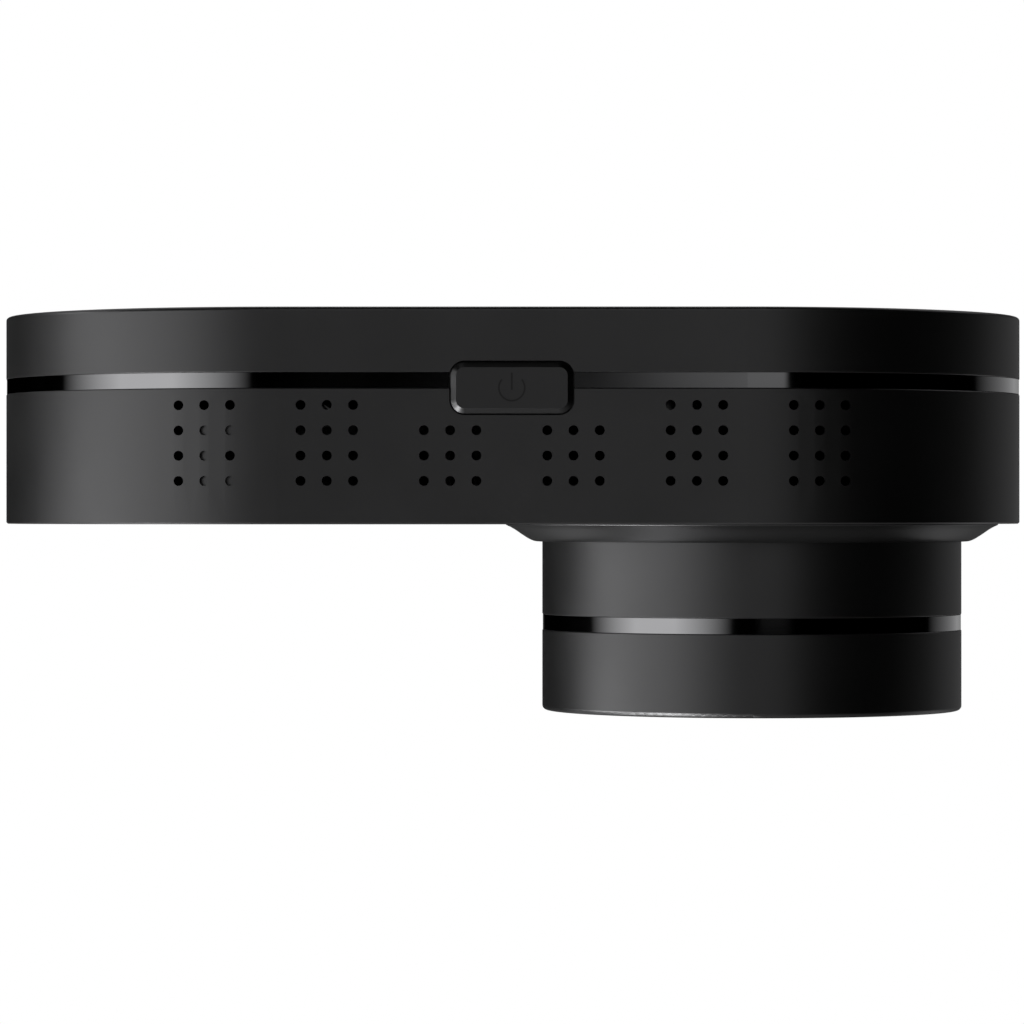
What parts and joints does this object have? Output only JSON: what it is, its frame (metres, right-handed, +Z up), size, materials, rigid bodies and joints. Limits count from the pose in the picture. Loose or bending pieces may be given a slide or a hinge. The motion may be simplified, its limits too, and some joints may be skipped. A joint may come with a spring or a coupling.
{
  "type": "dash camera",
  "caption": "Pill-shaped dash camera with a round lens barrel in front, a screen behind, a power button and vents underneath and a magnetic mount seat on top.",
  "frame": {"origin": "centre of the mount seat on the flat top face, where the windscreen mount's foot rests", "axes": "+Z up, out of the mount seat; -Y the way the lens looks; +Y the screen side; +X along the body, away from the lens"},
  "size_m": [0.1, 0.0386, 0.0567],
  "materials": {
    "satin_shell": "satin, fine moulded grain",
    "polished_trim": "polished dark chrome",
    "hood_black": "matte",
    "lens_barrel_black": "black anodised",
    "lens_glass": "coated",
    "filter_glass": "coated",
    "sensor_glass": "dark",
    "cover_glass": "gloss",
    "lcd_black": "gloss",
    "light_guide": "clear",
    "adhesive": "matte",
    "steel": "satin",
    "chassis_metal": "cast",
    "circuit_board": "solder mask",
    "chip_black": "matte",
    "thermal_rubber": "soft",
    "sink_aluminium": "anodised",
    "antenna_ceramic": "ceramic",
    "capacitor_sleeve": "gloss",
    "inner_plastic": "matte",
    "card_black": "satin",
    "connector_ivory": "matte",
    "flex_amber": "gloss",
    "button_black": "satin",
    "seat_steel": "brushed",
    "magnet_nickel": "nickel",
    "gold": "gold plated"
  },
  "bodies": {
    "housing": {"front_housing": "satin_shell", "rear_cover": "satin_shell", "body_accent_band": "polished_trim", "lens_base_ring": "satin_shell", "barrel_sleeve": "satin_shell", "barrel_accent_ring": "polished_trim", "barrel_front_ring": "satin_shell", "lens_hood": "hood_black", "lens_cell": "lens_barrel_black", "lens_front_element": "lens_glass", "lens_middle_element": "lens_glass", "lens_rear_element": "lens_glass", "lens_lock_ring": "lens_barrel_black", "lens_holder": "inner_plastic", "ir_filter": "filter_glass", "image_sensor": "sensor_glass", "sensor_board": "circuit_board", "sensor_screws": "steel", "barrel_screws": "steel", "touch_glass": "cover_glass", "glass_adhesive": "adhesive", "lcd_panel": "lcd_black", "backlight_tray": "steel", "backlight_guide": "light_guide", "chassis_plate": "chassis_metal", "chassis_screws": "steel", "main_board": "circuit_board", "board_screws": "steel", "processor": "chip_black", "thermal_pad": "thermal_rubber", "heat_sink": "sink_aluminium", "memory_chips": "chip_black", "wifi_module": "chip_black", "wifi_shield_can": "steel", "wifi_antenna": "antenna_ceramic", "power_inductors": "chip_black", "supercapacitors": "capacitor_sleeve", "speaker": "inner_plastic", "microphone": "steel", "usb_c_shell": "steel", "usb_c_tongue": "inner_plastic", "microsd_socket": "steel", "board_connectors": "connector_ivory", "sensor_flex": "flex_amber", "display_flex": "flex_amber", "tact_switch_body": "steel", "button_board": "circuit_board", "button_board_screws": "steel", "button_flex": "flex_amber", "mount_plate": "seat_steel", "mount_magnets": "magnet_nickel", "contact_insert": "inner_plastic", "contact_pads": "gold"},
    "power_button": {"power_button": "button_black", "tact_switch_stem": "inner_plastic"},
    "memory_card": {"microsd_card": "card_black"}
  },
  "joints": [
    {"name": "power_button_press", "type": "slide", "parent": "housing", "child": "power_button", "axis": [0, 0, 1], "range_m": [0, 0.0005], "stiffness_N_per_m": 1600, "springref_m": -0.0005},
    {"name": "memory_card_slide", "type": "slide", "parent": "housing", "child": "memory_card", "axis": [0, 0, 1], "range_m": [-0.0005, 0.0155]}
  ]
}
